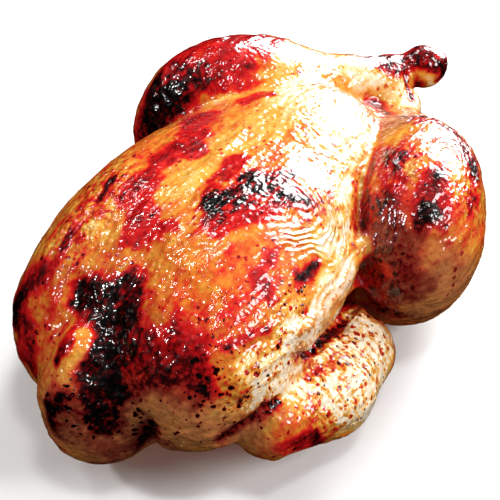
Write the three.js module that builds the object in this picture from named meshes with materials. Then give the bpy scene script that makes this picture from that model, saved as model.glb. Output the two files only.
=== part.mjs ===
// Whole roast chicken, lying on its back with the breast up, the drumsticks drawn together and
// crossed over the tail, and the wings folded against its flanks. The skin holds it all together,
// so it is one closed solid.
//
// Frame: millimetres, +X towards the tail, +Y towards the bird's left, +Z up. The origin is on the
// surface that the bird rests on, under the middle of its bounding box.
//
// The muscles and joints are ellipsoids and tapered capsules whose signed distances are blended
// together. The surface of the blend is then meshed, and the back is cut flat where it rests.

import * as THREE from 'three';

// Driving dimensions. The body parts below are in the millimetres of a slightly larger bird, and the
// finished bird is scaled from that to birdLength.
const birdLength = 258;
const restingHeight = -5;
const facetSize = 5.55;

// How softly the skin bridges from one part to the next.
const skinDraping = {
  breastHalves: 22,
  breastbone: 18,
  flank: 14,
  rump: 10,
  neck: 10,
  web: 14,
  webRidge: 9,
  haunch: 15,
  shank: 7,
  knuckle: 5,
  tendon: 6,
  wingJoint: 3,
  limbToBody: 6,
  crevice: 2,
};

const skinColour = new THREE.Color(0.72, 0.36, 0.13);

// ---- Distances: negative inside a shape, positive outside -------------------------------------

function blend(first, second, radius) {
  const overlap = Math.max(radius - Math.abs(first - second), 0) / radius;
  return Math.min(first, second) - (overlap * overlap * radius) / 4;
}

// An ellipsoid turned by yaw (about Z), pitch (lifting its +X end) and roll, in degrees. A taper
// above zero makes it fuller towards -X and slimmer towards +X, like an egg.
function ellipsoid({ centre, radii, yaw = 0, pitch = 0, roll = 0, taper = 0 }) {
  const degrees = Math.PI / 180;
  const turn = new THREE.Matrix4().makeRotationZ(yaw * degrees);
  turn.multiply(new THREE.Matrix4().makeRotationY(-pitch * degrees));
  turn.multiply(new THREE.Matrix4().makeRotationX(roll * degrees));
  const intoShape = turn.setPosition(...centre).invert();
  const local = new THREE.Vector3();
  return (point) => {
    local.copy(point).applyMatrix4(intoShape);
    const along = Math.min(Math.max(local.x / radii[0], -1.2), 1.2);
    const fullness = 1 - taper * along;
    const x = local.x / radii[0];
    const y = local.y / fullness / radii[1];
    const z = local.z / fullness / radii[2];
    const reach = Math.hypot(x, y, z);
    const steepness = Math.hypot(x / radii[0], y / radii[1], z / radii[2]);
    return (reach * (reach - 1)) / Math.max(steepness, 1e-9);
  };
}

// A bone-like capsule from one ball to another, with straight sides between the two.
function capsule(start, end, startRadius, endRadius) {
  const from = new THREE.Vector3(...start);
  const axis = new THREE.Vector3(...end).sub(from);
  const length = axis.length();
  axis.divideScalar(length);
  const slope = (startRadius - endRadius) / length;
  const lean = Math.sqrt(1 - slope * slope);
  const offset = new THREE.Vector3();
  return (point) => {
    offset.copy(point).sub(from);
    const along = offset.dot(axis);
    const away = Math.sqrt(Math.max(offset.lengthSq() - along * along, 0));
    const foot = along - (away * slope) / lean;
    if (foot <= 0) return Math.hypot(along, away) - startRadius;
    if (foot >= length) return Math.hypot(along - length, away) - endRadius;
    return away * lean + along * slope - startRadius;
  };
}

// Joins shapes one after another, each with its own draping radius.
function joined(first, ...rest) {
  return (point) => {
    let distance = first(point);
    for (const [shape, radius] of rest) distance = blend(distance, shape(point), radius);
    return distance;
  };
}

// A row of capsules from ball to ball: places and radii go together.
function chain(places, radii, draping) {
  const links = places.slice(1).map((end, n) => capsule(places[n], end, radii[n], radii[n + 1]));
  return joined(links[0], ...links.slice(1).map((link) => [link, draping]));
}

// A shape with another taken out of it, with a slightly rounded rim.
function carved(shape, cut, rounding) {
  return (point) => -blend(-shape(point), cut(point), rounding);
}

// Puts a shape that is described for the left side onto the side given: 1 left, -1 right.
function onSide(side, shape) {
  const reflected = new THREE.Vector3();
  return (point) => shape(reflected.set(point.x, side * point.y, point.z));
}

// Rolls a shape about a lengthwise line at the height given.
function rolledAbout(height, degrees, shape) {
  const turn = new THREE.Matrix4().makeRotationX(-THREE.MathUtils.degToRad(degrees));
  const rolled = new THREE.Vector3();
  return (point) => {
    rolled.set(point.x, point.y, point.z - height).applyMatrix4(turn);
    rolled.z += height;
    return shape(rolled);
  };
}

// ---- Trunk: breast, back, rump, tail and the skin over the neck --------------------------------

function breast() {
  const left = ellipsoid({ centre: [-30, 21.5, 50], radii: [92, 41, 44], yaw: -2, pitch: 6, taper: 0.18 });
  const right = ellipsoid({ centre: [-35, 19.5, 51], radii: [88, 39, 42], yaw: -10, pitch: 6, taper: 0.22 });
  const point = ellipsoid({ centre: [32, -0.5, 58.5], radii: [41.5, 34, 29], yaw: -4, pitch: -8 });
  const halves = joined(left, [onSide(-1, right), skinDraping.breastHalves]);
  const leanHeight = 17;
  const leanDegrees = -8;
  return rolledAbout(leanHeight, leanDegrees, joined(halves, [point, skinDraping.breastbone]));
}

function trunk() {
  const back = ellipsoid({ centre: [-4.5, 0, 29], radii: [93, 42, 37] });
  const rump = ellipsoid({ centre: [60, 0, 29], radii: [39.5, 39.5, 30] });
  const belly = ellipsoid({ centre: [70, 5, 35], radii: [32, 26, 21], pitch: -10 });
  const tail = ellipsoid({ centre: [98, 0, 26], radii: [17, 14.5, 10.5], pitch: 25 });
  const neckSkin = chain([[-115, 8, 56], [-119, 5, 45], [-113, 3, 30]], [11, 16, 23], 8);
  const web = chain([[-52, -50, 40], [-22, -50, 34], [6, -53, 46]], [5, 5, 5], 8);
  return joined(
    breast(),
    [back, skinDraping.flank],
    [rump, skinDraping.rump],
    [belly, skinDraping.rump],
    [tail, skinDraping.rump],
    [neckSkin, skinDraping.neck],
    [web, skinDraping.web],
  );
}

// ---- Legs: thigh, drumstick, bare shank and knuckle --------------------------------------------

function leg({ drumstick, shankStart, shankEnd, knuckle }) {
  const [x, y, z] = drumstick.centre;
  const thigh = capsule([60, 31, 29], [28, 42, 28], 29, 28);
  const calf = capsule([x + 20, y - 14, z + 3.5], shankStart, 26.5, 11);
  const shank = capsule(shankStart, shankEnd, 11, 9.5);
  const knuckleEnd = ellipsoid({ centre: knuckle, radii: [13, 10.5, 10.5], yaw: -35 });
  return joined(
    ellipsoid(drumstick),
    [thigh, skinDraping.haunch],
    [calf, skinDraping.haunch],
    [shank, skinDraping.shank],
    [knuckleEnd, skinDraping.knuckle],
  );
}

// The left leg crosses above the right one.
const leftLeg = leg({
  drumstick: { centre: [38, 52, 55], radii: [44, 29, 40.5], yaw: -30, pitch: -6 },
  shankStart: [89.5, 19, 60],
  shankEnd: [113, 7, 55.5],
  knuckle: [126.5, -3, 56],
});

const rightLeg = leg({
  drumstick: { centre: [37, 50, 43], radii: [50, 31, 40.5], yaw: -26, pitch: -10 },
  shankStart: [84.5, 19, 45.5],
  shankEnd: [101.5, 1.5, 44],
  knuckle: [110, -3.5, 44],
});

// Tendons and loose skin that bridge the crossed shanks.
const tendons = joined(
  chain([[100, 13, 58], [106, 3, 53], [104, -6, 47]], [6, 6.5, 7], 4),
  [capsule([86, 18, 52], [104, -4, 48], 8, 6), skinDraping.tendon],
);

const legs = joined(leftLeg, [onSide(-1, rightLeg), skinDraping.wingJoint], [tendons, skinDraping.tendon]);

// ---- Wings: folded, with the elbow towards the tail and the tip tucked under --------------------

function wing(lift, tuck) {
  const upperArm = capsule([-74, 40, 38], [-30, 54 - tuck, 21 + lift], 15, 13);
  const forearm = chain(
    [[-24, 59 - tuck, 20.5 + lift], [-52, 63 - tuck, 24 + lift], [-84, 57 - tuck, 32 + lift]],
    [16.5, 17.5, 14.5],
    skinDraping.shank,
  );
  const tip = capsule([-82.5, 53 - tuck, 26 + lift], [-63.5, 38, 12], 8.5, 5);
  return joined(upperArm, [forearm, skinDraping.wingJoint], [tip, skinDraping.knuckle]);
}

const leftWing = wing(-4, 4);
const rightWing = wing(0, 0);

// The skin between breast and thigh stands over a crevice above the right wing, with a raised edge.
const crevice = chain([[-72, 59, 61], [-52, 57, 50], [-30, 53, 43], [-6, 50, 37]], [2.5, 4, 5.5, 6], 4);
const webRidge = chain([[-96, 50, 64], [-62, 54, 61], [-34, 52, 57], [-6, 48, 60]], [2, 3, 3, 2], 4);

const limbs = joined(
  trunk(),
  [legs, skinDraping.limbToBody],
  [leftWing, skinDraping.limbToBody],
  [onSide(-1, rightWing), skinDraping.limbToBody],
);
const wholeBird = joined(carved(limbs, onSide(-1, crevice), skinDraping.crevice), [
  onSide(-1, webRidge),
  skinDraping.webRidge,
]);

// The back is pressed flat where it rests.
function restingBird(point) {
  return Math.max(wholeBird(point), restingHeight - point.z);
}

// ---- Meshing: one vertex in each grid cell that the surface passes through ---------------------

// Draws a vertex onto the surface along the steepest way there, but not out of its own cell.
function settle(vertex, cell, distanceAt) {
  const step = 0.5;
  const probe = new THREE.Vector3();
  const slope = new THREE.Vector3();
  for (let round = 0; round < 3; round += 1) {
    const here = distanceAt(vertex);
    for (const axis of ['x', 'y', 'z']) {
      probe.copy(vertex);
      probe[axis] += step;
      slope[axis] = (distanceAt(probe) - here) / step;
    }
    const move = THREE.MathUtils.clamp(-here / Math.max(slope.lengthSq(), 0.3), -1, 1);
    vertex.addScaledVector(slope, move).clamp(cell.min, cell.max);
  }
}

// Fills creases too narrow for the grid: where the corners of a cell's face are inside and outside
// by turns, two walls would share an edge, so the nearer of the outside corners joins the inside.
function fillPinches(values, strides) {
  const justInside = -0.05;
  let filled = 1;
  while (filled > 0) {
    filled = 0;
    for (let here = 0; here < values.length; here += 1) {
      for (let axis = 0; axis < 3; axis += 1) {
        const across = here + strides[axis];
        const up = here + strides[(axis + 1) % 3];
        const opposite = across + strides[(axis + 1) % 3];
        const [a, b, c, d] = [here, across, opposite, up].map((corner) => values[corner] < 0);
        if (a !== c || b !== d || a === b) continue;
        const outside = a ? [across, up] : [here, opposite];
        outside.sort((first, second) => values[first] - values[second]);
        values[outside[0]] = justInside;
        filled += 1;
      }
    }
  }
}

function meshSurface(distanceAt, low, high, size) {
  const cellMargin = 0.06;
  const counts = low.map((start, axis) => Math.ceil((high[axis] - start) / size) + 1);
  const strides = [1, counts[0], counts[0] * counts[1]];
  const values = new Float64Array(counts[0] * counts[1] * counts[2]);
  const cornerAt = (i, j, k) => new THREE.Vector3(low[0] + i * size, low[1] + j * size, low[2] + k * size);
  const index = (i, j, k) => i + j * strides[1] + k * strides[2];

  for (let k = 0; k < counts[2]; k += 1) {
    for (let j = 0; j < counts[1]; j += 1) {
      for (let i = 0; i < counts[0]; i += 1) values[index(i, j, k)] = distanceAt(cornerAt(i, j, k));
    }
  }

  fillPinches(values, strides);

  const corners = [0, 1, 2, 3, 4, 5, 6, 7].map((bits) => [bits & 1, (bits >> 1) & 1, (bits >> 2) & 1]);
  const edges = [];
  corners.forEach((from, a) => {
    for (const bit of [1, 2, 4]) if (!(a & bit)) edges.push([a, a | bit]);
  });

  const positions = [];
  const vertexOf = new Map();
  for (let k = 0; k < counts[2] - 1; k += 1) {
    for (let j = 0; j < counts[1] - 1; j += 1) {
      for (let i = 0; i < counts[0] - 1; i += 1) {
        const around = corners.map(([di, dj, dk]) => values[index(i + di, j + dj, k + dk)]);
        const vertex = new THREE.Vector3();
        let crossings = 0;
        for (const [a, b] of edges) {
          if (around[a] < 0 === around[b] < 0) continue;
          const start = cornerAt(i + corners[a][0], j + corners[a][1], k + corners[a][2]);
          const end = cornerAt(i + corners[b][0], j + corners[b][1], k + corners[b][2]);
          vertex.add(start.lerp(end, around[a] / (around[a] - around[b])));
          crossings += 1;
        }
        if (crossings === 0) continue;
        vertex.divideScalar(crossings);
        const cell = new THREE.Box3(cornerAt(i, j, k), cornerAt(i + 1, j + 1, k + 1));
        settle(vertex, cell.expandByScalar(-cellMargin * size), distanceAt);
        vertexOf.set(index(i, j, k), positions.length / 3);
        positions.push(vertex.x, vertex.y, vertex.z);
      }
    }
  }

  // Each grid edge that crosses the surface is ringed by four cells, which make two triangles.
  const triangles = [];
  const apart = (a, b) => Math.hypot(...[0, 1, 2].map((n) => positions[3 * a + n] - positions[3 * b + n]));
  for (let k = 1; k < counts[2] - 1; k += 1) {
    for (let j = 1; j < counts[1] - 1; j += 1) {
      for (let i = 1; i < counts[0] - 1; i += 1) {
        const here = index(i, j, k);
        for (let axis = 0; axis < 3; axis += 1) {
          const inside = values[here] < 0;
          if (inside === values[here + strides[axis]] < 0) continue;
          const across = strides[(axis + 1) % 3];
          const up = strides[(axis + 2) % 3];
          const ring = [here, here - across, here - across - up, here - up].map((cell) => vertexOf.get(cell));
          if (!inside) ring.reverse();
          const [a, b, c, d] = ring;
          if (apart(a, c) <= apart(b, d)) triangles.push(a, b, c, a, c, d);
          else triangles.push(b, c, d, b, d, a);
        }
      }
    }
  }

  const geometry = new THREE.BufferGeometry();
  geometry.setAttribute('position', new THREE.Float32BufferAttribute(positions, 3));
  geometry.setIndex(triangles);
  return geometry;
}

// ---- The bird at its real size, standing on the origin -----------------------------------------

const searchLow = [-150, -100, restingHeight - 1.5 * facetSize];
const searchHigh = [155, 100, 115];

function flattenUnderside(positions) {
  for (let n = 0; n < positions.count; n += 1) {
    if (positions.getZ(n) < restingHeight + 0.25 * facetSize) positions.setZ(n, restingHeight);
  }
}

const geometry = meshSurface(restingBird, searchLow, searchHigh, facetSize);
flattenUnderside(geometry.attributes.position);
geometry.computeBoundingBox();
const middle = geometry.boundingBox.getCenter(new THREE.Vector3());
const length = geometry.boundingBox.max.x - geometry.boundingBox.min.x;
geometry.translate(-middle.x, -middle.y, -restingHeight);
geometry.scale(birdLength / length, birdLength / length, birdLength / length);
geometry.computeVertexNormals();

const skin = new THREE.MeshStandardMaterial({ color: skinColour, roughness: 0.38, metalness: 0 });
const chicken = new THREE.Mesh(geometry, skin);
chicken.name = 'roast_chicken';

const roastChicken = new THREE.Group();
roastChicken.add(chicken);

export default roastChicken;
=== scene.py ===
import math

import bpy
import numpy as np
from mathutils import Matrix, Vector


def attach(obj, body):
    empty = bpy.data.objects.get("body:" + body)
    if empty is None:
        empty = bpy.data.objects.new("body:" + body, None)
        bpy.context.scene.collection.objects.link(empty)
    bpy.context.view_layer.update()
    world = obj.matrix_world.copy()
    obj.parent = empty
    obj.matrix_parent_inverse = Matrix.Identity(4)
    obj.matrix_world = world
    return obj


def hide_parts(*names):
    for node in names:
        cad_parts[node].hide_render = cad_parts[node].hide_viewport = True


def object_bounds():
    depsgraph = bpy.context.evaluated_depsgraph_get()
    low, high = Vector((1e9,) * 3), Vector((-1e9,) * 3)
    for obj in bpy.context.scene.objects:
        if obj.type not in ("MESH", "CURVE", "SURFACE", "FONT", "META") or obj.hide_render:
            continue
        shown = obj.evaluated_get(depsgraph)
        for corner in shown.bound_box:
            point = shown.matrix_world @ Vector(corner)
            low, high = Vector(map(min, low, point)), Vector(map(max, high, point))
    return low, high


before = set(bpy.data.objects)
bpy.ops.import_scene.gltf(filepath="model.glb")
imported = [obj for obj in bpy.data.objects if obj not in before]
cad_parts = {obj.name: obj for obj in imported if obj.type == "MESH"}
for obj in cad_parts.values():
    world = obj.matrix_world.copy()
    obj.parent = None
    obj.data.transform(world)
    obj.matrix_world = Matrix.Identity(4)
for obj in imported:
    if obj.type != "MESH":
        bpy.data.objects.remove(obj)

cad_low, cad_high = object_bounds()

# ---- The bird: flesh under one skin --------------------------------------------------------------
# A whole dressed chicken roasted on its back. Its muscles and joints are ellipsoids and tapered
# capsules, in millimetres for a bird of nominal size, that the skin drapes over. The neck is at -X,
# the tail at +X, and the bird's own left leg at +Y.

RESTING_HEIGHT = -5.0
GRID_STEP = 1.24
GRID_LOW = (-150, -100, RESTING_HEIGHT - 4)
GRID_HIGH = (150, 100, 110)


def drape(first, second, radius):
    """Joins two distances as skin does, spanning the crease between them by the radius given."""
    overlap = np.maximum(radius - np.abs(first - second), 0.0) / radius
    return np.minimum(first, second) - overlap * overlap * radius * 0.25


def turned(yaw=0.0, pitch=0.0, roll=0.0):
    y, p, r = math.radians(yaw), math.radians(pitch), math.radians(roll)
    about_z = [[math.cos(y), -math.sin(y), 0], [math.sin(y), math.cos(y), 0], [0, 0, 1]]
    about_y = [[math.cos(p), 0, -math.sin(p)], [0, 1, 0], [math.sin(p), 0, math.cos(p)]]
    about_x = [[1, 0, 0], [0, math.cos(r), -math.sin(r)], [0, math.sin(r), math.cos(r)]]
    return (np.array(about_z) @ np.array(about_y) @ np.array(about_x)).astype(np.float32)


def muscle(points, centre, radii, yaw=0.0, pitch=0.0, roll=0.0, taper=0.0):
    """Distance to an ellipsoid, exact only near its surface. A taper narrows its +X end."""
    local = (points - np.float32(centre)) @ turned(yaw, pitch, roll)
    radii = np.float32(radii)
    if taper:
        fullness = 1.0 - taper * np.clip(local[:, 0] / radii[0], -1.2, 1.2)
        local[:, 1] /= fullness
        local[:, 2] /= fullness
    local /= radii
    reach = np.sqrt((local ** 2).sum(1))
    steepness = np.sqrt(((local / radii) ** 2).sum(1))
    return reach * (reach - 1.0) / np.maximum(steepness, 1e-9)


def bone(points, start, end, start_radius, end_radius):
    """Distance to a tapered capsule."""
    start, end = np.float32(start), np.float32(end)
    length = float(np.linalg.norm(end - start))
    axis = (end - start) / length
    slope = (start_radius - end_radius) / length
    lean = math.sqrt(1.0 - slope * slope)
    offset = points - start
    forward = offset @ axis
    away = np.sqrt(np.maximum((offset ** 2).sum(1) - forward * forward, 0.0))
    foot = forward - away * (slope / lean)
    side = away * lean + forward * slope - start_radius
    near_start = np.hypot(forward, away) - start_radius
    near_end = np.hypot(forward - length, away) - end_radius
    return np.where(foot <= 0, near_start, np.where(foot >= length, near_end, side))


def mirrored(points):
    return points * np.float32([1, -1, 1])


def chain(points, places, sizes, radius):
    """Distance to a run of tapered capsules, one after another."""
    distance = bone(points, places[0], places[1], sizes[0], sizes[1])
    for n in range(1, len(places) - 1):
        distance = drape(distance, bone(points, places[n], places[n + 1], sizes[n], sizes[n + 1]), radius)
    return distance


def breast(points):
    lean_height = np.float32([0, 0, 17])
    points = (points - lean_height) @ turned(roll=-8) + lean_height
    left = muscle(points, (-30, 21.5, 50), (92, 41, 44), yaw=-2, pitch=6, taper=0.18)
    right = muscle(mirrored(points), (-35, 19.5, 51), (88, 39, 42), yaw=-10, pitch=6, taper=0.22)
    tail_end = muscle(points, (32, -0.5, 58.5), (41.5, 34, 29), yaw=-4, pitch=-8)
    return drape(drape(left, right, 22), tail_end, 18)


def trunk(points):
    back = muscle(points, (-4.5, 0, 29), (93, 42, 37))
    rump = muscle(points, (60, 0, 29), (39.5, 39.5, 30))
    belly = muscle(points, (70, 5, 35), (32, 26, 21), pitch=-10)
    tail = muscle(points, (98, 0, 26), (17, 14.5, 10.5), pitch=25)
    neck = chain(points, [(-115, 8, 56), (-119, 5, 45), (-113, 3, 30)], [11, 16, 23], 8)
    distance = drape(breast(points), back, 14)
    for part in (rump, belly, tail, neck):
        distance = drape(distance, part, 10)
    web = chain(points, [(-52, -50, 40), (-22, -50, 34), (6, -53, 46)], [5, 5, 5], 8)
    return drape(distance, web, 14)


def leg(points, drumstick, radii, yaw, pitch, shank_start, shank_end, knuckle):
    x, y, z = drumstick
    plump = muscle(points, drumstick, radii, yaw=yaw, pitch=pitch)
    thigh = bone(points, (60, 31, 29), (28, 42, 28), 29, 28)
    calf = bone(points, (x + 20, y - 14, z + 3.5), shank_start, 26.5, 11)
    shank = bone(points, shank_start, shank_end, 11, 9.5)
    knob = muscle(points, knuckle, (13, 10.5, 10.5), yaw=-35)
    distance = drape(drape(plump, thigh, 15), calf, 15)
    return drape(drape(distance, shank, 7), knob, 5)


def left_leg(points):
    return leg(points, (38, 52, 55), (44, 29, 40.5), -30, -6,
               (89.5, 19, 60), (113, 7, 55.5), (126.5, -3, 56))


def right_leg(points):
    return leg(mirrored(points), (37, 50, 43), (50, 31, 40.5), -26, -10,
               (84.5, 19, 45.5), (101.5, 1.5, 44), (110, -3.5, 44))


def tendons(points):
    distance = chain(points, [(100, 13, 58), (106, 3, 53), (104, -6, 47)], [6, 6.5, 7], 4)
    return drape(distance, bone(points, (86, 18, 52), (104, -4, 48), 8, 6), 6)


def wing(points, lift, tuck):
    upper_arm = bone(points, (-74, 40, 38), (-30, 54 - tuck, 21 + lift), 15, 13)
    line = [(-24, 59 - tuck, 20.5 + lift), (-52, 63 - tuck, 24 + lift), (-84, 57 - tuck, 32 + lift)]
    forearm = chain(points, line, [16.5, 17.5, 14.5], 7)
    tip = bone(points, (-82.5, 53 - tuck, 26 + lift), (-63.5, 38, 12), 8.5, 5)
    return drape(drape(upper_arm, forearm, 3), tip, 5)


def crevice(points):
    """The gap between the right wing and the web of skin above it, on the mirrored side."""
    line = [(-72, 59, 61), (-52, 57, 50), (-30, 53, 43), (-6, 50, 37)]
    return chain(points, line, [2.5, 4, 5.5, 6], 4)


def web_ridge(points):
    """The raised line of that web, on the mirrored side."""
    line = [(-96, 50, 64), (-62, 54, 61), (-34, 52, 57), (-6, 48, 60)]
    return chain(points, line, [2, 3, 3, 2], 4)


def bird(points):
    right = mirrored(points)
    legs = drape(drape(left_leg(points), right_leg(points), 3), tendons(points), 6)
    distance = drape(trunk(points), legs, 4.5)
    distance = drape(distance, np.minimum(wing(points, -4, 4), wing(right, 0, 0)), 3)
    distance = -drape(-distance, crevice(right), 2)
    distance = drape(distance, web_ridge(right), 9)
    return np.maximum(distance, RESTING_HEIGHT - points[:, 2])


def grid_points(start, counts, step):
    axes = [start[n] + step * np.arange(counts[n], dtype=np.float32) for n in range(3)]
    return np.stack(np.meshgrid(*axes, indexing="ij"), -1)


def distance_grid(low, high, step):
    """The bird's distance at each grid corner, exact only near the skin."""
    coarse = 4    # steps along the side of a coarse cell, whose corners are worked out first
    counts = [int(math.ceil((high[n] - low[n]) / (step * coarse))) for n in range(3)]
    rough = bird(grid_points(low, [c + 1 for c in counts], step * coarse).reshape(-1, 3))
    rough = rough.reshape([c + 1 for c in counts])
    fine = grid_points(low, [c * coarse + 1 for c in counts], step)
    values = rough
    for axis in range(3):
        before = np.take(values, range(0, values.shape[axis] - 1), axis)
        after = np.take(values, range(1, values.shape[axis]), axis)
        parts = [before + (after - before) * (n / coarse) for n in range(coarse)]
        mixed = np.stack(parts, axis + 1)
        shape = list(before.shape)
        shape[axis] *= coarse
        mixed = mixed.reshape(shape)
        last = np.take(values, [values.shape[axis] - 1], axis)
        values = np.concatenate([mixed, last], axis)
    near = np.abs(values) < 1.1 * step * coarse
    values[near] = bird(fine[near])
    return values, fine


def fill_pinches(values):
    """Fills creases narrower than the grid, where two walls would meet along an edge."""
    just_inside = -0.02
    while True:
        filled = 0
        for a, b in ((0, 1), (1, 2), (2, 0)):
            grid = np.moveaxis(values, (a, b), (0, 1))
            p, q, r, s = grid[:-1, :-1], grid[1:, :-1], grid[1:, 1:], grid[:-1, 1:]
            pinched = ((p < 0) == (r < 0)) & ((q < 0) == (s < 0)) & ((p < 0) != (q < 0))
            filled += int(pinched.sum())
            for i, j, k in np.argwhere(pinched):
                ring = [(i, j, k), (i + 1, j, k), (i + 1, j + 1, k), (i, j + 1, k)]
                outside = [corner for corner in ring if grid[corner] >= 0]
                if len(outside) == 2:
                    grid[min(outside, key=lambda corner: grid[corner])] = just_inside
        if not filled:
            return


def skin_surface(values, corners, step):
    """One vertex in each cell that the skin passes through, and a quad round each crossed edge."""
    inside = values < 0
    cells = tuple(n - 1 for n in values.shape)
    total = np.zeros(cells + (3,), np.float32)
    crossings = np.zeros(cells, np.float32)
    for axis in range(3):
        across, up = (axis + 1) % 3, (axis + 2) % 3
        for shift_across in (0, 1):
            for shift_up in (0, 1):
                start = [slice(None)] * 3
                start[axis] = slice(0, cells[axis])
                start[across] = slice(shift_across, shift_across + cells[across])
                start[up] = slice(shift_up, shift_up + cells[up])
                end = list(start)
                end[axis] = slice(1, cells[axis] + 1)
                crossed = inside[tuple(start)] != inside[tuple(end)]
                first, second = values[tuple(start)][crossed], values[tuple(end)][crossed]
                place = corners[tuple(start)][crossed]
                place[:, axis] += step * first / (first - second)
                total[crossed] += place
                crossings[crossed] += 1
    used = crossings > 0
    number = np.full(cells, -1, np.int64)
    number[used] = np.arange(int(used.sum()))
    vertices = total[used] / crossings[used][:, None]
    quads = []
    for axis in range(3):
        across, up = (axis + 1) % 3, (axis + 2) % 3
        core = [slice(1, cells[n]) for n in range(3)]
        start, end = list(core), list(core)
        start[axis], end[axis] = slice(0, cells[axis]), slice(1, cells[axis] + 1)
        first, second = inside[tuple(start)], inside[tuple(end)]
        found = np.argwhere(first != second)
        leaving = first[first != second]
        found[:, across] += 1
        found[:, up] += 1
        ring = []
        for back_across, back_up in ((0, 0), (1, 0), (1, 1), (0, 1)):
            cell = found.copy()
            cell[:, across] -= back_across
            cell[:, up] -= back_up
            ring.append(number[tuple(cell.T)])
        ring = np.stack(ring, 1)
        ring[~leaving] = ring[~leaving][:, ::-1]
        quads.append(ring)
    return vertices, np.concatenate(quads)


def slope_at(points):
    """The bird's distance at each point, and its slope there."""
    step = 0.4
    here = bird(points)
    slope = np.empty_like(points)
    for axis in range(3):
        moved = points.copy()
        moved[:, axis] += step
        slope[:, axis] = (bird(moved) - here) / step
    return here, slope


distances, corners = distance_grid(GRID_LOW, GRID_HIGH, GRID_STEP)
fill_pinches(distances)
skin_points, skin_quads = skin_surface(distances, corners, GRID_STEP)


def neighbour_mean(field, quads):
    """The mean of a field over each vertex's neighbours along the quads' edges."""
    total = np.zeros_like(field)
    count = np.zeros(len(field), np.float32)
    for n in range(4):
        here, there = quads[:, n], quads[:, (n + 1) % 4]
        for a, b in ((here, there), (there, here)):
            for axis in range(field.shape[1]):
                total[:, axis] += np.bincount(a, field[b, axis], len(field))
            count += np.bincount(a, minlength=len(field))
    return total / count[:, None]


def settle(points):
    """Draws the vertices onto the skin, and returns the way out of the flesh at each."""
    flattest = 0.3
    furthest = 0.5
    here, slope = slope_at(points)
    push = np.clip(-here / np.maximum((slope ** 2).sum(1), flattest), -furthest, furthest)
    points += push[:, None] * slope
    return slope / np.linalg.norm(slope, axis=1, keepdims=True)


SMOOTHING_PASSES = 3
SMOOTHING_SHARE = 0.6
settle(skin_points)
for smoothing in range(SMOOTHING_PASSES):
    skin_points += SMOOTHING_SHARE * (neighbour_mean(skin_points, skin_quads) - skin_points)
    outward = settle(skin_points)

# The bird's own millimetres become metres in the frame: as long as the solid that it stands for,
# over the same middle, and resting on the same plane.
bird_low, bird_high = skin_points.min(0), skin_points.max(0)
metres = (cad_high[0] - cad_low[0]) / float(bird_high[0] - bird_low[0])
bird_middle = (bird_low + bird_high) / 2
cad_middle = (np.array(cad_low) + np.array(cad_high)) / 2


def to_frame(points):
    points = np.asarray(points, float)
    placed = (points - bird_middle) * metres + cad_middle
    placed[..., 2] = (points[..., 2] - RESTING_HEIGHT) * metres + cad_low[2]
    return placed


# ---- Skin relief ---------------------------------------------------------------------------------
# Roasting shrinks the skin onto the flesh: it dimples, draws into lengthwise folds, shows its
# feather follicles in patches, and blisters where it burns. The neck skin rolls at its cut edge.

NOISE_CELLS = 32
NOISE_ORIGIN = 100.0


def mottle(points, size, seed):
    """Smooth noise from -1 to 1 with lumps of the size given, one for each axis or one for all."""
    draws = np.random.default_rng(seed)
    lattice = draws.uniform(-1, 1, (NOISE_CELLS, NOISE_CELLS, NOISE_CELLS)).astype(np.float32)
    place = points / np.float32(size) + NOISE_ORIGIN
    cell = np.floor(place).astype(int)
    part = place - cell
    part = part * part * (3.0 - 2.0 * part)
    value = np.zeros(len(points), np.float32)
    for corner in range(8):
        step = np.array([corner & 1, corner >> 1 & 1, corner >> 2 & 1])
        share = np.where(step, part, 1.0 - part).prod(1)
        i, j, k = ((cell + step) % NOISE_CELLS).T
        value += share * lattice[i, j, k]
    return value


def pimples(points, spacing, seed):
    """Bumps scattered about one to a cell: 1 on top of a bump, 0 between them."""
    draws = np.random.default_rng(seed)
    jitter = draws.uniform(0.2, 0.8, (NOISE_CELLS, NOISE_CELLS, NOISE_CELLS, 3)).astype(np.float32)
    roundness = 0.08
    place = points / spacing + NOISE_ORIGIN
    cell = np.floor(place).astype(int)
    nearest = np.full(len(points), np.inf, np.float32)
    for step in np.ndindex(3, 3, 3):
        other = cell + np.array(step) - 1
        i, j, k = (other % NOISE_CELLS).T
        nearest = np.minimum(nearest, (((other + jitter[i, j, k]) - place) ** 2).sum(1))
    return np.exp(-nearest / roundness)


def to_path(points, places):
    """Distance from a path of one or more places."""
    places = [np.float32(place) for place in places]
    nearest = np.linalg.norm(points - places[0], axis=1)
    for start, end in zip(places[:-1], places[1:]):
        run = end - start
        share = np.clip(((points - start) @ run) / (run @ run), 0, 1)
        nearest = np.minimum(nearest, np.linalg.norm(points - start - share[:, None] * run, axis=1))
    return nearest


# Browning spreads unevenly through the skin: its edges are pushed about, and break into islands and
# streaks that run lengthwise with the folds.
ragged = skin_points.copy()
for reach, size, seed in ((5.0, 20, 31), (2.6, 8, 34)):
    for axis in range(3):
        ragged[:, axis] += reach * mottle(skin_points, size, seed + axis)
patchy = 0.50 * mottle(ragged, (15, 7, 7), 41) + 0.36 * mottle(ragged, (7, 3.6, 3.6), 42)
patchy += 0.24 * mottle(skin_points, 2.7, 43)


def strokes(*marks, edge=0.3, broken=0.5):
    """Marks along paths, 1 well inside and 0 beyond the radius, with an edge that breaks up."""
    depth = np.zeros(len(skin_points), np.float32)
    for radius, *places in marks:
        nearness = 1.0 - to_path(ragged, places) / radius
        depth = np.maximum(depth, np.clip((nearness + broken * patchy) / edge, 0, 1))
    return depth * depth * (3 - 2 * depth)


def along(radius, *places):
    """1 along a path, fading beyond the radius, with no raggedness."""
    return np.exp(-(to_path(skin_points, places) / radius) ** 2)


def blended_to(level, target, depth):
    return level + (target - level) * depth
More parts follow.
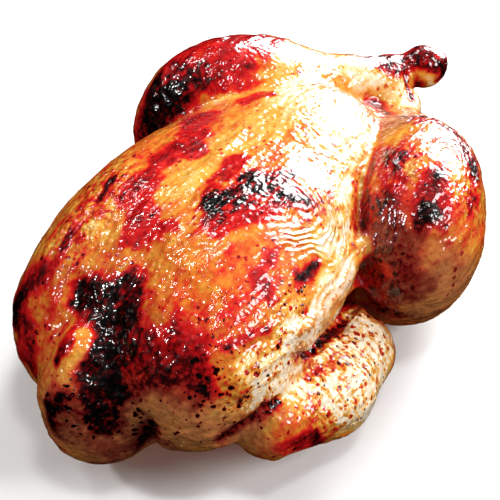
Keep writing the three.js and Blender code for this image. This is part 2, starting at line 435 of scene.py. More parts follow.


# How far each place is roasted, with painted shade added in creases and hollows: 0 cream, 0.25
# golden, 0.4 orange, 0.55 red, 0.7 maroon, from 0.9 char. Each coat goes over the ones before it;
# the coats marked so are painted shade, not browning. It has its level, how softly it ends, how
# much it breaks up, and its marks, each a radius and the places that it runs through.
roast_and_shade = 0.39 + 0.04 * mottle(skin_points, 40, 11) + 0.07 * patchy
coats = (
    # Amber over the neck end of the breast.
    (0.42, 1.0, 0.7, (
        (32, (-84, -2, 88), (-62, -24, 91)),
    )),
    # Golden streaks along the breast, and gold on the left drumstick and above the right wing.
    (0.27, 0.6, 0.5, (
        (12, (11, 8, 91), (-20, 12, 92), (-52, 17, 91)),
        (10, (18, 16, 90), (-40, 5, 93)),
        (12, (18, 46, 86), (38, 30, 84)),
        (8, (-58, -49, 78), (-76, -55, 70)),
    )),
    # Pale skin: the breast's tail end and right side, both wings, the right shoulder, the web of
    # skin behind the wing, and the left shank, with a painted highlight low on the right wing.
    (0.06, 0.7, 0.4, (
        (26, (30, 6, 90), (27, -16, 85), (22, -30, 74), (4, -44, 66)),
        (12, (-14, -42, 75), (-30, -43, 81)),
        (22, (-48, -60, 43), (-27, -67, 34)),
        (20, (-48, 58, 38), (-27, 63, 30)),
        (18, (-63, -75, 37), (-38, -76, 32)),
        # Painted highlight: the low outer side of the right wing is painted cream where light falls on
        # it.
        (16, (-22, -72, 31), (-45, -80, 22), (-60, -80, 24)),
        (9, (-48, -54, 67), (-35, -52, 68), (-20, -49, 67)),
        (18, (60, 26, 82), (78, 14, 72), (91, 6, 60)),
        (15, (-92, -57, 54), (-78, -59, 58), (-72, -60, 50)),
        (11, (-92, -52, 67), (-82, -54, 69), (-74, -54, 71)),
        (14, (100, 3, 58), (101, -8, 54), (112, -8, 52), (122, -12, 52)),
        (10, (-22, -53, 62), (-34, -55, 63), (-66, -57, 66)),
    )),
    # Orange along the left side and on the tail.
    (0.46, 1.0, 0.6, (
        (14, (-40, 64, 50), (-70, 56, 62)),
        (12, (70, 50, 45), (84, 26, 40)),
        (16, (98, 0, 26), (110, 0, 30)),
    )),
    # Painted shade: darker brown low on the neck flap, where less light reaches.
    (0.62, 0.9, 0.5, (
        (20, (-128, -14, 31), (-118, -24, 30)),
        (14, (-135, -4, 42), (-131, -10, 34)),
    )),
    # Deep orange on both shoulders and the right drumstick.
    (0.48, 1.1, 0.5, (
        (20, (-100, -15, 80), (-96, -28, 82)),
        (20, (-90, -42, 80), (-106, -30, 77), (-84, -46, 78)),
        (24, (3, -66, 66), (20, -72, 70)),
        (18, (-90, 40, 80), (-103, 30, 70), (-114, 26, 60)),
    )),
    # Painted shade: a golden band, darker than the pale left shank, down the inner side of the left
    # drumstick along its crease with the breast.
    (0.30, 0.7, 0.4, (
        (7, (37, 28, 85), (60, 20, 78), (76, 12, 68)),
    )),
    # Crimson glaze, mostly on the legs and in bands over the breast.
    (0.63, 0.5, 0.4, (
        (17, (24, 62, 92), (38, 58, 95), (50, 48, 94)),
        (12, (22, 48, 90), (32, 42, 91)),
        (10, (-30, 66, 48), (-62, 60, 52)),
        (9, (10, 84, 58), (30, 84, 66)),
        (8, (102, 0, 30), (112, 0, 28)),
        (9, (62, -58, 50), (76, -40, 44)),
        (6, (26, 24, 87), (16, 28, 87)),
        (9, (2, 33, 87), (-11, 29, 90)),
        (6, (-11, 29, 90), (-26, 22, 91)),
        (8, (-36, 28, 91), (-50, 25, 90)),
        (12, (-50, 25, 90), (-62, 19, 89), (-71, 10, 88)),
        (6, (-71, 9, 88), (-66, 1, 91)),
        (8, (-28, 2, 94), (-42, -2, 94), (-52, -14, 95)),
        (8, (-54, -15, 95), (-42, -24, 94)),
        (3, (-56, 42, 84), (-78, 39, 82), (-94, 35, 77)),
        (2.5, (-46, 38, 87), (-66, 34, 87)),
        (4, (-92, -44, 78), (-78, -49, 78)),
        (5, (-56, -36, 89), (-68, -40, 86)),
        (5, (-112, 10, 68), (-120, 8, 66)),
        (9, (60, -36, 76), (64, -50, 75), (55, -65, 71)),
        (9, (31, -43, 82), (19, -48, 80)),
        (8, (45, -72, 70), (36, -78, 66)),
        (15, (-4, -63, 63), (-6, -68, 56)),
    )),
    # Maroon round the places that burn, and in single spots, with painted shade in the valley beside
    # the right leg, by the crease over the right wing and in the gap between the right wing and the web.
    (0.74, 0.9, 0.5, (
        (14, (-102, 12, 73), (-97, 3, 78), (-111, -5, 68), (-125, -11, 54)),
        (16, (-112, -20, 73), (-114, -30, 69), (-110, -40, 67)),
        (12, (-102, -32, 79), (-107, -39, 72), (-108, -44, 66)),
        (4, (-64, -41, 85), (-72, -45, 82)),
        (9, (-117, -34, 60), (-112, -42, 60)),
        # Painted shade: the next two marks darken the crease over the right wing and the valley where the
        # right leg meets the breast.
        (6, (-106, -50, 43), (-98, -55, 48), (-90, -58, 49)),
        (11, (5, -55, 72), (-2, -60, 66)),
        (9, (27, -65, 80), (17, -69, 77), (8, -70, 73)),
        (10, (-99, 42, 70), (-107, 46, 59), (-116, 38, 54), (-121, 31, 46)),
        (13, (104, 8, 67), (115, 4, 66), (126, -4, 66), (134, -6, 60)),
        (8, (-90, -69, 36), (-83, -72, 31), (-77, -73, 23)),
        (13, (-45, -8, 94), (-24, -22, 94)),
        (18, (14, 58, 88), (5, 62, 79), (-1, 68, 68)),
        # Painted shade: the gap between the right wing and the web of skin above it.
        (8, (-60, -52, 50), (-30, -48, 42), (-4, -48, 38)),
        (9, (-132, 0, 56), (-137, 4, 46), (-136, 2, 38)),
        (6, (57, -62, 73), (50, -69, 69)),
        (6, (-3, 36, 87), (5, 35, 87)),
        (6, (-36, 33, 89), (-28, 31, 90), (-19, 26, 91)),
        (4, (31, -43, 82)),
        (4, (30, -51, 84)),
        (4.5, (19, -53, 81)),
        (4, (3, -59, 73)),
        (3.5, (16, -79, 68)),
        (3.5, (25, -45, 81)),
        (4, (34, 40, 92)),
        (4, (23, 46, 90)),
        (3.5, (14, 48, 84)),
        (4, (-68, 15, 88)),
        (5, (-42, 27, 91), (-50, 27, 90)),
        (3, (108, -4, 58), (104, -10, 55)),
    )),
    # Mahogany on the right shoulder and the left knuckle, and painted shade between the right thigh and
    # the web.
    (0.79, 0.8, 0.3, (
        (13, (-112, -14, 71), (-117, -23, 66), (-113, -30, 69)),
        (9, (-119, -20, 62)),
        (11, (104, 8, 67), (115, 4, 66), (126, -3, 66), (134, -6, 62)),
        # Painted shade: the gap between the right thigh and the web.
        (9, (-9, -52, 54), (-10, -56, 44), (-9, -60, 37), (-8, -66, 36)),
    )),
    # Painted shade: maroon where the right leg meets the breast, on the leg's shaded side, and in the
    # hollow under the left shank.
    (0.76, 0.7, 0.15, (
        (12, (34, -37, 76), (20, -44, 76), (8, -53, 73), (-2, -60, 66), (-8, -62, 52)),
        (9, (3, -54, 71), (-5, -65, 60), (-8, -66, 48)),
        (7, (86, 2, 54), (84, -6, 53), (80, -11, 57), (69, -20, 68)),
        (5, (82, -3, 56), (83, -10, 56), (72, -19, 67), (62, -28, 75)),
    )),
    # Char.
    (0.95, 0.9, 0.6, (
        (14, (14, 60, 88), (5, 63, 78), (0, 67, 68)),
        (8, (-49, -7, 94), (-38, -14, 95)),
        (6, (-38, -14, 95), (-22, -24, 91)),
        (4, (-30, -10, 95), (-12, -20, 91)),
        (5, (-134, 1, 55), (-137, 5, 46), (-136, 3, 38)),
        (7, (-105, 47, 60), (-112, 46, 52), (-119, 36, 50)),
        (5, (-110, -44, 64)),
        (5, (-105, -47, 65)),
        (3, (-98, -48, 68)),
        (4.5, (28, -66, 80)),
        (5, (15, -69, 76), (9, -69, 74)),
        (5, (66, -32, 75), (64, -46, 76)),
        (4, (57, -62, 72), (50, -70, 70)),
        (5, (-53, -47, 81), (-44, -48, 78)),
        (4, (-83, -72, 31), (-77, -73, 23)),
        (5, (134, -5, 63), (136, -8, 55)),
        (7, (127, -13, 57), (136, -9, 50)),
        (3.5, (-52, -57, 54), (-30, -54, 46)),
    )),
    # A broad band of char over the neck.
    (0.92, 0.6, 0.3, (
        (12, (-101, 14, 74), (-96, 4, 79), (-103, -1, 74), (-111, -5, 68)),
        (11, (-111, -5, 68), (-119, -8, 61), (-125, -11, 54), (-127, -12, 47)),
    )),
    # The rolled edge of the neck skin stays golden, with one burnt spot.
    (0.34, 0.6, 0.3, (
        (5, (-113, 7, 68), (-119, 4, 66), (-127, 3, 60)),
    )),
    (0.90, 0.6, 0.2, (
        (4, (-119, 9, 66), (-124, 8, 63)),
    )),
)
for level, edge, broken, marks in coats:
    roast_and_shade = blended_to(roast_and_shade, level, strokes(*marks, edge=edge, broken=broken))

# Painted shade: the skin is taken towards maroon in the creases, where little light reaches,
# most on the right leg, and not near the floor.
crease_reach = 9.0
crease_shade_level = 0.72
crease_low, crease_high = 20, 40
painted_crease_shade = 1.0 - np.clip(bird(skin_points + outward * crease_reach) / crease_reach, 0, 1)
painted_crease_shade *= np.clip((skin_points[:, 2] - crease_low) / (crease_high - crease_low), 0, 1)
painted_crease_shade *= np.where(breast(skin_points) < right_leg(skin_points), 0.6, 1.0)
crease_shade_depth = np.clip(painted_crease_shade * 1.5 - 0.25, 0, 1) * (roast_and_shade < crease_shade_level)
roast_and_shade = blended_to(roast_and_shade, crease_shade_level, crease_shade_depth)

# Painted shade: the crease over the wing, the notch beside the neck flap and the gap under the web
# are painted nearly black, and the slit beside the left knuckle is painted dark.
shaded_creases = along(3.2, (-106, -51, 40), (-101, -54, 44), (-96, -56, 46),
                        (-91, -57.5, 46.5), (-85, -59, 46.5))
shaded_creases += along(3.6, (-121, -29, 46), (-119.5, -25, 36.5), (-117, -21, 26))
shaded_creases += along(2.6, (-64, -58, 53), (-54, -56, 46), (-47, -55, 44),
                         (-37, -54, 40), (-27, -53, 36))
roast_and_shade = blended_to(roast_and_shade, 0.95, np.clip(shaded_creases, 0, 1))
roast_and_shade = blended_to(roast_and_shade, 0.74, along(1.6, (111, -2.5, 59.5), (107, -6.5, 56.3), (102, -10.5, 54.3)))

# The web of skin behind the wing is drawn up in fine pleats along its length.
pleat_width = 4.0
web_line = [(-96, -50, 64), (-62, -54, 61), (-34, -52, 57), (-6, -48, 60)]
pleated = strokes((14, (-86, -55, 66), (-62, -55, 65), (-34, -54, 62), (-18, -51, 66)),
                  edge=0.8, broken=0.2)
pleats = np.sin(to_path(ragged, web_line) * (2 * math.pi / pleat_width)) * pleated

# What the skin's material reads at each place: how roasted it is, with the painted shade in creases
# and hollows, then where it is brown and not red, specked, specked in rows, and more mottled, and last
# the ripples round the burn on the breast.
fields = {
    "roast_and_shade": roast_and_shade + 0.13 * pleats,
    "tan": strokes(
        (34, (-135, -4, 42), (-128, -14, 31), (-118, -24, 30)),
        (24, (-117, -40, 50), (-104, -54, 44)),
        (20, (-122, -19, 50), (-119, -32, 58)),
        (24, (-1, -79, 40), (-6, -73, 38), (10, -84, 42)),
        (22, (-2, -62, 66), (-6, -68, 56), (2, -76, 56)),
        (11, (60, -19, 71), (50, -26, 76)),
        (10, (-22, -53, 60), (-34, -55, 60), (-66, -57, 64)),
        edge=0.8, broken=0.3),
    "specks": strokes(
        (24, (-48, 58, 36), (-27, 63, 30), (-84, 53, 52)),
        (24, (-48, -60, 43), (-27, -67, 34), (-63, -75, 37)),
        (26, (-97, -50, 67), (-84, -57, 60), (-105, -51, 56)),
        (14, (-132, 1, 55), (-135, -3, 45), (-118, -30, 50)),
        (12, (-58, -49, 78), (-76, -55, 70)),
        edge=0.8),
    "rows": strokes(
        (26, (-48, 58, 36), (-27, 63, 30), (-63, 66, 34)),
        (26, (-48, -62, 40), (-27, -67, 34), (-63, -70, 38)),
        (16, (-97, -54, 56), (-80, -58, 56), (-66, -56, 66)),
        edge=0.8, broken=0.2),
    "mottled": strokes(
        (30, (-48, -60, 43), (-27, -67, 34), (-63, -75, 37)),
        (20, (-97, -54, 60), (-84, -57, 58), (-66, -55, 70)),
        (20, (28, -47, 83), (43, -56, 80), (38, -70, 72)),
        (18, (-66, 38, 85), (-85, 36, 80), (-48, 46, 84)),
        (24, (24, -6, 89), (14, -26, 82), (-14, -42, 75)),
        (17, (-42, -8, 95), (-26, -20, 92), (-16, -27, 88)),
        (18, (60, -36, 78), (72, -48, 71), (64, -57, 72), (43, -66, 75)),
        edge=0.8, broken=0.2),
    "ripple": to_path(ragged, [(-42, -12, 94), (-34, -19, 94)]),
    "rippled": strokes((24, (-34, -38, 87), (-22, -40, 82)), edge=0.8, broken=0.3),
}

# Heights in millimetres, over all the skin that is clear of the resting plane.
clear_of_floor = skin_points[:, 2] > RESTING_HEIGHT + 0.3
dimples = 0.7 * mottle(skin_points, 17, 1) + 0.35 * mottle(skin_points, 8, 2)
folds = 0.45 * mottle(skin_points, (22, 3.4, 3.4), 3)
burnt = np.clip(roast_and_shade - 0.75, 0, 0.2) / 0.2
blisters = burnt * 0.8 * mottle(skin_points, 3.6, 4)
goose_flesh = np.clip(0.35 + 0.6 * mottle(skin_points, 30, 6), 0, 1)
follicles = 0.45 * pimples(skin_points, 4.6, 5) * goose_flesh

# Rolled edges stand up and creases go down. Each has its height, its width and its path.
creases = (
    # The rolled edge of the neck skin, and the crease on its left.
    (1.8, 4.5, (-107, 8, 70), (-115, 9, 68), (-121, 8, 65), (-127, 6, 61), (-134, 4, 55)),
    (-2.0, 3.5, (-100, 21, 74), (-108, 18, 70), (-116, 19, 64), (-122, 18, 58), (-126, 16, 48)),
    # The slit beside the left knuckle.
    (-1.2, 1.8, (110, -2, 60), (108, -5, 57), (102, -10.6, 54)),
    # The keel of the breastbone.
    (1.0, 3.0, (-60, 9, 91), (-35, 11, 92), (-7, 12, 91)),
    # The notch on the neck flap's right.
    (-2.5, 4.0, (-121, -27, 50), (-119, -25, 38), (-113, -22, 26)),
    # Two folds of the web of skin behind the wing.
    (1.2, 3.0, (-70, -56, 68), (-48, -56, 63), (-22, -53, 62)),
    (0.9, 2.2, (-60, -53, 73), (-40, -52, 70), (-20, -48, 69)),
)
creased = 0.4 * pleats - 1.2 * shaded_creases
for height, width, *path in creases:
    creased += height * along(width, *path)
relief = (dimples + folds + blisters + follicles + creased) * clear_of_floor
skin_points += outward * relief[:, None]
skin_points[:, 2] = np.maximum(skin_points[:, 2], RESTING_HEIGHT)

skin_mesh = bpy.data.meshes.new("roast_skin")
skin_mesh.from_pydata(to_frame(skin_points).tolist(), [], skin_quads.tolist())
skin_mesh.polygons.foreach_set("use_smooth", np.ones(len(skin_quads), bool))
for name, amounts in fields.items():
    layer = skin_mesh.attributes.new(name, "FLOAT", "POINT")
    layer.data.foreach_set("value", amounts.astype(np.float32))
skin_mesh.validate()
chicken = bpy.data.objects.new("chicken", skin_mesh)
bpy.context.scene.collection.objects.link(chicken)

# ---- Browned skin --------------------------------------------------------------------------------
# The skin's finish: golden where the fat has crisped it, cream where it stayed pale, then red glaze,
# mahogany and black char, with painted shade in creases and hollows, all under a wet coat of fat and
# juices.


class Nodes:
    """A material's node tree, with a short way to add and wire a node."""

    def __init__(self, material):
        material.use_nodes = True
        self.tree = material.node_tree
        self.tree.nodes.clear()

    def add(self, kind, settings=None, **inputs):
        node = self.tree.nodes.new(kind)
        for key, value in (settings or {}).items():
            setattr(node, key, value)
        for key, value in inputs.items():
            self.put(node, key.replace("_", " "), value)
        return node

    def put(self, node, key, value):
        socket = node.inputs[int(key)] if key.isdigit() else node.inputs[key]
        if isinstance(value, bpy.types.NodeSocket):
            self.tree.links.new(value, socket)
        else:
            socket.default_value = value

    def maths(self, operation, first, second=0.0):
        node = self.tree.nodes.new("ShaderNodeMath")
        node.operation = operation
        self.put(node, "0", first)
        self.put(node, "1", second)
        return node.outputs[0]

    def swing(self, texture, reach, middle=0.5):
        """A texture as an amount either side of zero."""
        return self.maths("MULTIPLY", self.maths("SUBTRACT", texture, middle), reach)

    def ramp(self, value, low, high, start=0.0, end=1.0):
        node = self.add("ShaderNodeMapRange", {"interpolation_type": "SMOOTHSTEP"}, Value=value)
        for key, number in (("From Min", low), ("From Max", high), ("To Min", start), ("To Max", end)):
            node.inputs[key].default_value = number
        return node.outputs[0]

    def mix(self, share, first, second):
        node = self.tree.nodes.new("ShaderNodeMix")
        node.data_type = "RGBA"
        self.put(node, "0", share)
        self.put(node, "6", first)
        self.put(node, "7", second)
        return node.outputs[2]

    def noise(self, place, size, detail=3.0, roughness=0.55, distortion=0.0):
        """Noise with lumps of about the size given, in metres."""
        node = self.add("ShaderNodeTexNoise", Vector=place)
        node.inputs["Scale"].default_value = 1.0 / size
        node.inputs["Detail"].default_value = detail
        node.inputs["Roughness"].default_value = roughness
        node.inputs["Distortion"].default_value = distortion
        return node.outputs[0]

    def cells(self, place, spacing):
        """Cells about as far apart as the spacing given, in metres."""
        node = self.add("ShaderNodeTexVoronoi", {"feature": "F1"}, Vector=place)
        node.inputs["Scale"].default_value = 1.0 / spacing
        return node

    def field(self, name):
        return self.add("ShaderNodeAttribute", {"attribute_name": name}).outputs["Fac"]


def colour(red, green, blue):
    return (red, green, blue, 1.0)


roast_skin = bpy.data.materials.new("roast_skin")
skin = Nodes(roast_skin)
place = skin.add("ShaderNodeTexCoord").outputs["Object"]
lengthwise = skin.add("ShaderNodeMapping", Vector=place)
lengthwise.inputs["Scale"].default_value = (0.3, 1.0, 1.0)
broad = skin.noise(place, 0.016, 3)
middling = skin.noise(place, 0.0055, 3, 0.6)
fine = skin.noise(place, 0.0019, 2, 0.6)
streaks = skin.noise(lengthwise.outputs[0], 0.0026, 2, 0.55)

# The roast level varies by fine textures, more where the skin is mottled or burnt. On the wings and
# the right shoulder it also varies in short rows.
unevenness = skin.swing(broad, 0.22)
for texture, reach in ((middling, 0.32), (fine, 0.22), (streaks, 0.30)):
    unevenness = skin.maths("ADD", unevenness, skin.swing(texture, reach))
busier = skin.maths("ADD", skin.maths("MULTIPLY", skin.field("mottled"), 1.7), 1.0)
unevenness = skin.maths("MULTIPLY", unevenness, busier)
level = skin.maths("ADD", skin.field("roast_and_shade"), unevenness)
flaky = skin.maths("MULTIPLY", skin.ramp(skin.field("roast_and_shade"), 0.6, 0.85), 0.5)
level = skin.maths("ADD", level, skin.swing(fine, flaky))
crosswise = skin.add("ShaderNodeMapping", Vector=place)
crosswise.inputs["Scale"].default_value = (2.2, 1.0, 1.0)
rows = skin.noise(crosswise.outputs[0], 0.0055, 2, 0.6, 0.4)
rows = skin.swing(rows, skin.field("rows"), 0.52)
level = skin.maths("ADD", level, skin.maths("MULTIPLY", rows, 2.0))

# Dark specks with crooked edges, at most one to a cell, where the skin is specked.
wander_size = 0.002
wander_reach = 0.0022
wander = skin.add("ShaderNodeTexNoise", Vector=place)
wander.inputs["Scale"].default_value = 1.0 / wander_size
crooked = skin.add("ShaderNodeVectorMath", {"operation": "MULTIPLY_ADD"})
skin.put(crooked, "0", wander.outputs["Color"])
crooked.inputs[1].default_value = (wander_reach, wander_reach, wander_reach)
skin.put(crooked, "2", place)
speck_cells = skin.cells(crooked.outputs[0], 0.0025)
speck_chance = skin.add("ShaderNodeSeparateColor", Color=speck_cells.outputs["Color"]).outputs[0]
speck_size = skin.maths("MULTIPLY", skin.maths("MULTIPLY", skin.field("specks"), 0.55), speck_chance)
speck_depth = skin.maths("SUBTRACT", speck_size, speck_cells.outputs["Distance"])
level = skin.maths("ADD", level, skin.ramp(speck_depth, -0.10, 0.10, 0.0, 0.54))

# Smaller, fainter dots all over, bigger in some places than in others. None show on dark skin.
dot_cells = skin.cells(crooked.outputs[0], 0.0024)
dot_chance = skin.add("ShaderNodeSeparateColor", Color=dot_cells.outputs["Color"]).outputs[1]
dot_share = skin.ramp(broad, 0.4, 0.6, 0.16, 0.50)
dot_size = skin.maths("MULTIPLY", skin.maths("POWER", dot_chance, 3.0), dot_share)
dot_depth = skin.maths("SUBTRACT", dot_size, dot_cells.outputs["Distance"])
dots = skin.ramp(dot_depth, -0.10, 0.08, 0.0, 0.28)
dots = skin.maths("MULTIPLY", dots, skin.ramp(level, 0.62, 0.80, 1.0, 0.0))
level = skin.maths("ADD", level, dots)

# The colours that the skin goes through as it roasts, each at its roast level.
browning = skin.add("ShaderNodeValToRGB", Fac=level)
roast_colours = (
    (0.00, (0.92, 0.76, 0.56)),
    (0.12, (0.87, 0.54, 0.22)),
    (0.25, (0.74, 0.355, 0.045)),
    (0.38, (0.65, 0.18, 0.020)),
    (0.47, (0.60, 0.074, 0.011)),
    (0.53, (0.62, 0.014, 0.008)),
    (0.62, (0.47, 0.004, 0.006)),
    (0.71, (0.26, 0.002, 0.003)),
    (0.80, (0.07, 0.001, 0.002)),
    (0.90, (0.008, 0.001, 0.001)),
    (1.00, (0.0015, 0.001, 0.001)),
)
elements = browning.color_ramp.elements
while len(elements) < len(roast_colours):
    elements.new(0.5)
for element, (position, shade) in zip(elements, roast_colours):
    element.position = position
    element.color = colour(*shade)
tone = browning.outputs[0]

# Where the skin isn't glazed it turns a plain brown, tan to dark, in place of red. The dark end also
# carries painted shade low on the neck flap and on the right leg.
plain_tan = colour(0.46, 0.165, 0.055)
dark_brown = colour(0.16, 0.034, 0.015)
brown = skin.mix(skin.ramp(level, 0.38, 0.66), plain_tan, dark_brown)
browner = skin.maths("MULTIPLY", skin.field("tan"), skin.ramp(level, 0.64, 0.80, 0.85, 0.0))
browner = skin.maths("MULTIPLY", browner, skin.ramp(level, 0.05, 0.3, 0.4, 1.0))
tone = skin.mix(browner, tone, brown)

# The skin ripples in rings round the burn on the breast.
ripple_width = 3.0
rings = skin.maths("MULTIPLY", skin.field("ripple"), 2.0 * math.pi / ripple_width)
rings = skin.maths("ADD", rings, skin.maths("MULTIPLY", middling, 6.0))
rings = skin.maths("MULTIPLY", skin.maths("SINE", rings), skin.field("rippled"))

# Heights in millimetres, for lumps and wrinkles of 6 mm to 2 mm.
lumps = skin.noise(place, 0.0060, 1)
wrinkles = skin.noise(place, 0.0019, 0.5)
fine_folds = skin.noise(lengthwise.outputs[0], 0.0021, 0.5)
height = skin.maths("MULTIPLY", lumps, 0.55)
for texture, depth in ((wrinkles, 0.40), (fine_folds, 0.46), (rings, 0.22)):
    height = skin.maths("ADD", height, skin.maths("MULTIPLY", texture, depth))
rougher = skin.maths("ADD", skin.maths("MULTIPLY", skin.field("mottled"), 0.8), 1.0)
height = skin.maths("MULTIPLY", height, rougher)
bump = skin.add("ShaderNodeBump", Height=height)
bump.inputs["Strength"].default_value = 1.0
bump.inputs["Distance"].default_value = 0.001

# Under the wet coat, the skin itself is greasier in some places than in others.
greasiness = skin.ramp(broad, 0.3, 0.7, 0.24, 0.36)
shader = skin.add("ShaderNodeBsdfPrincipled")
skin.put(shader, "Base Color", tone)
skin.put(shader, "Roughness", greasiness)
skin.put(shader, "Normal", bump.outputs[0])
shader.inputs["Coat Weight"].default_value = 0.8
shader.inputs["Coat Roughness"].default_value = 0.04
skin.put(shader, "Coat Normal", bump.outputs[0])
shader.inputs["Specular IOR Level"].default_value = 0.12
output = skin.add("ShaderNodeOutputMaterial")
skin.tree.links.new(shader.outputs[0], output.inputs["Surface"])
skin_mesh.materials.append(roast_skin)

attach(chicken, "root")
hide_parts("roast_chicken")

# ---- Beads of fat --------------------------------------------------------------------------------
# Rendered fat and juice stand in small beads all over the skin. Each is a low drop, half sunk in the
# skin that it sits on, with the same finish.


class GeometryTree:
    """A Geometry Nodes tree that takes a skin and named numbers, and gives a new geometry."""

    def __init__(self, name, numbers):
        self.tree = bpy.data.node_groups.new(name, "GeometryNodeTree")
        self.tree.interface.new_socket("Skin", in_out="INPUT", socket_type="NodeSocketGeometry")
        self.tree.interface.new_socket("Pieces", in_out="OUTPUT", socket_type="NodeSocketGeometry")
        for key in numbers:
            self.tree.interface.new_socket(key, in_out="INPUT", socket_type="NodeSocketFloat")
        self.given = self.tree.nodes.new("NodeGroupInput").outputs
        self.result = self.tree.nodes.new("NodeGroupOutput").inputs

    def add(self, kind, settings=None, **inputs):
        node = self.tree.nodes.new(kind)
        for key, value in (settings or {}).items():
            setattr(node, key, value)
        for key, value in inputs.items():
            socket = node.inputs[key.replace("_", " ")]
            if isinstance(value, bpy.types.NodeSocket):
                self.tree.links.new(value, socket)
            else:
                socket.default_value = value
        return node

    def maths(self, operation, first, second):
        node = self.tree.nodes.new("ShaderNodeMath")
        node.operation = operation
        for socket, value in zip(node.inputs, (first, second)):
            if isinstance(value, bpy.types.NodeSocket):
                self.tree.links.new(value, socket)
            else:
                socket.default_value = value
        return node.outputs[0]


def scattered(name, flatness, density, numbers, seed, material):
    """Small round pieces strewn over the skin: density is a field's name, or None for all over."""
    widest, narrowest = 1.3, 0.6
    tree = GeometryTree(name, numbers)
    given = tree.given
    amount = given["Per square metre"]
    if density:
        share = tree.add("GeometryNodeInputNamedAttribute", {"data_type": "FLOAT"}, Name=density)
        amount = tree.maths("MULTIPLY", amount, share.outputs["Attribute"])
    strewn = tree.add("GeometryNodeDistributePointsOnFaces", {"distribute_method": "RANDOM"},
                      Mesh=given["Skin"], Density=amount, Seed=seed)
    ball = tree.add("GeometryNodeMeshIcoSphere", Radius=1.0, Subdivisions=1)
    smooth = tree.add("GeometryNodeSetShadeSmooth", Geometry=ball.outputs["Mesh"])
    draw = tree.add("FunctionNodeRandomValue", {"data_type": "FLOAT"}, Seed=seed + 1)
    size = tree.maths("POWER", draw.outputs[1], 2.0)
    size = tree.maths("MULTIPLY", size, tree.maths("SUBTRACT", given["Largest"], given["Smallest"]))
    size = tree.maths("ADD", size, given["Smallest"])
    stretch = tree.add("FunctionNodeRandomValue", {"data_type": "FLOAT"}, Seed=seed + 2)
    spread = tree.maths("MULTIPLY", stretch.outputs[1], widest - narrowest)
    width = tree.maths("MULTIPLY", size, tree.maths("ADD", spread, narrowest))
    height = tree.maths("MULTIPLY", size, flatness)
    scale = tree.add("ShaderNodeCombineXYZ", X=size, Y=width, Z=height)
    spin = tree.add("FunctionNodeRandomValue", {"data_type": "FLOAT"}, Seed=seed + 3)
    turn = tree.add("ShaderNodeCombineXYZ", Z=tree.maths("MULTIPLY", spin.outputs[1], 2 * math.pi))
    facing = tree.add("FunctionNodeRotateRotation", {"rotation_space": "LOCAL"},
                      Rotation=strewn.outputs["Rotation"], Rotate_By=turn.outputs[0])
    placed = tree.add("GeometryNodeInstanceOnPoints", Points=strewn.outputs["Points"],
                      Instance=smooth.outputs["Geometry"], Rotation=facing.outputs[0],
                      Scale=scale.outputs[0])
    realized = tree.add("GeometryNodeRealizeInstances", Geometry=placed.outputs["Instances"])
    finished = tree.add("GeometryNodeSetMaterial", Geometry=realized.outputs[0], Material=material)
    tree.tree.links.new(finished.outputs[0], tree.result["Pieces"])

    piece = bpy.data.objects.new(name, skin_mesh)
    bpy.context.scene.collection.objects.link(piece)
    modifier = piece.modifiers.new(name, "NODES")
    modifier.node_group = tree.tree
    for socket in tree.tree.interface.items_tree:
        if socket.in_out == "INPUT" and socket.name in numbers:
            modifier[socket.identifier] = numbers[socket.name]
    evaluated = piece.evaluated_get(bpy.context.evaluated_depsgraph_get())
    made = bpy.data.meshes.new_from_object(evaluated)
    piece.modifiers.remove(modifier)
    piece.data = made
    made.name = name
    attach(piece, "root")


scattered("fat_beads", 0.42, None,
          {"Per square metre": 22000.0, "Smallest": 0.00025, "Largest": 0.0006}, 5, roast_skin)

# ---- Char flecks ---------------------------------------------------------------------------------
# Feather follicles and stray juices scorch to small hard flecks on the wings, shoulder and neck. They
# are flat crumbs, dark red to nearly black, baked onto the skin.

charred = bpy.data.materials.new("charred_fleck")
fleck = Nodes(charred)
fleck_place = fleck.add("ShaderNodeTexCoord").outputs["Object"]
crumb = fleck.noise(fleck_place, 0.0012, 2)
redness = fleck.ramp(fleck.noise(fleck_place, 0.009, 2), 0.42, 0.6)
fleck_tone = fleck.mix(redness, colour(0.028, 0.005, 0.003), colour(0.15, 0.018, 0.008))
fleck_shader = fleck.add("ShaderNodeBsdfPrincipled")
fleck.put(fleck_shader, "Base Color", fleck_tone)
fleck.put(fleck_shader, "Roughness", fleck.ramp(crumb, 0.3, 0.7, 0.25, 0.5))
fleck_bump = fleck.add("ShaderNodeBump", Height=crumb)
fleck_bump.inputs["Distance"].default_value = 0.0003
fleck.put(fleck_shader, "Normal", fleck_bump.outputs[0])
fleck_output = fleck.add("ShaderNodeOutputMaterial")
fleck.tree.links.new(fleck_shader.outputs[0], fleck_output.inputs["Surface"])

scattered("char_flecks", 0.28, "specks",
          {"Per square metre": 26000.0, "Smallest": 0.00025, "Largest": 0.00085}, 21, charred)

# ---- The table and the studio --------------------------------------------------------------------
# A plain pale floor under a faint white sky. A broad window stands low beyond the tail, a second one
# on the bird's right, with small lamps on its left and above. The camera looks down over its neck
# and right shoulder.

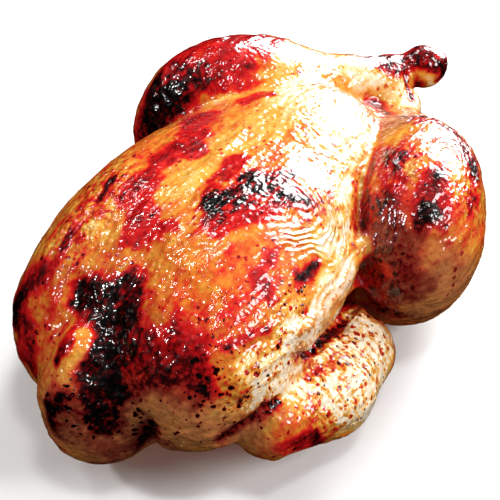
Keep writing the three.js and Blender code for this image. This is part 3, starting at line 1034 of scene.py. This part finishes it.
floor_mesh = bpy.data.meshes.new("floor")
floor_reach = 80 * (cad_high[0] - cad_low[0])
floor_corners = [(x * floor_reach, y * floor_reach, cad_low[2])
                 for x, y in ((-1, -1), (1, -1), (1, 1), (-1, 1))]
floor_mesh.from_pydata(floor_corners, [], [(0, 1, 2, 3)])
floor = bpy.data.objects.new("floor", floor_mesh)
bpy.context.scene.collection.objects.link(floor)
pale_floor = bpy.data.materials.new("pale_floor")
floor_nodes = Nodes(pale_floor)
floor_shader = floor_nodes.add("ShaderNodeBsdfPrincipled")
floor_shader.inputs["Base Color"].default_value = colour(0.88, 0.88, 0.88)
floor_shader.inputs["Roughness"].default_value = 0.6
floor_output = floor_nodes.add("ShaderNodeOutputMaterial")
floor_nodes.tree.links.new(floor_shader.outputs[0], floor_output.inputs["Surface"])
floor_mesh.materials.append(pale_floor)

# The floor neither reflects in the skin nor lights it, and the sky doesn't reflect in it, so that
# the bird's rims stay dark.
floor.visible_glossy = False
floor.visible_diffuse = False

world = bpy.data.worlds.new("sky")
bpy.context.scene.world = world
world.use_nodes = True
world.node_tree.nodes["Background"].inputs["Color"].default_value = colour(1.0, 1.0, 1.0)
world.node_tree.nodes["Background"].inputs["Strength"].default_value = 0.25
world.cycles_visibility.glossy = False


def direction(azimuth, elevation):
    """The way towards an azimuth, in degrees from +X round to +Y, and an elevation."""
    a, e = math.radians(azimuth), math.radians(elevation)
    return Vector((math.cos(a) * math.cos(e), math.sin(a) * math.cos(e), math.sin(e)))


def softbox(name, azimuth, elevation, width, power):
    """A soft light far off, as many degrees wide as given."""
    light = bpy.data.lights.new(name, "SUN")
    light.angle = math.radians(width)
    light.energy = power
    lamp = bpy.data.objects.new(name, light)
    lamp.rotation_euler = direction(azimuth, elevation).to_track_quat("Z", "Y").to_euler()
    bpy.context.scene.collection.objects.link(lamp)
    return lamp


# The window's light on the skin and its shine in the wet coat are set apart from each other.
softbox("window", 2, 32, 30, 3.5).visible_glossy = False
softbox("window_shine", 0, 20, 47, 10.5).visible_diffuse = False
softbox("far_shine", 56, 52, 10, 0.5).visible_diffuse = False
softbox("side_window", -66, 34, 22, 2.35)
softbox("left_lamp", 131, 47, 6, 0.9)
softbox("back_lamp", 78, 46, 5, 0.4)
softbox("top_lamp", -100, 76, 9, 0.7)

camera_distance = 550.4
camera_data = bpy.data.cameras.new("camera")
camera_data.lens = 90
camera = bpy.data.objects.new("camera", camera_data)
aim = Vector(to_frame((-8.6, 5.5, 31.8)))
towards_camera = direction(-145, 43)
camera.location = aim + towards_camera * (camera_distance * metres)
camera.rotation_euler = towards_camera.to_track_quat("Z", "Y").to_euler()
bpy.context.scene.collection.objects.link(camera)
bpy.context.scene.camera = camera
bpy.context.scene.view_settings.view_transform = "Standard"
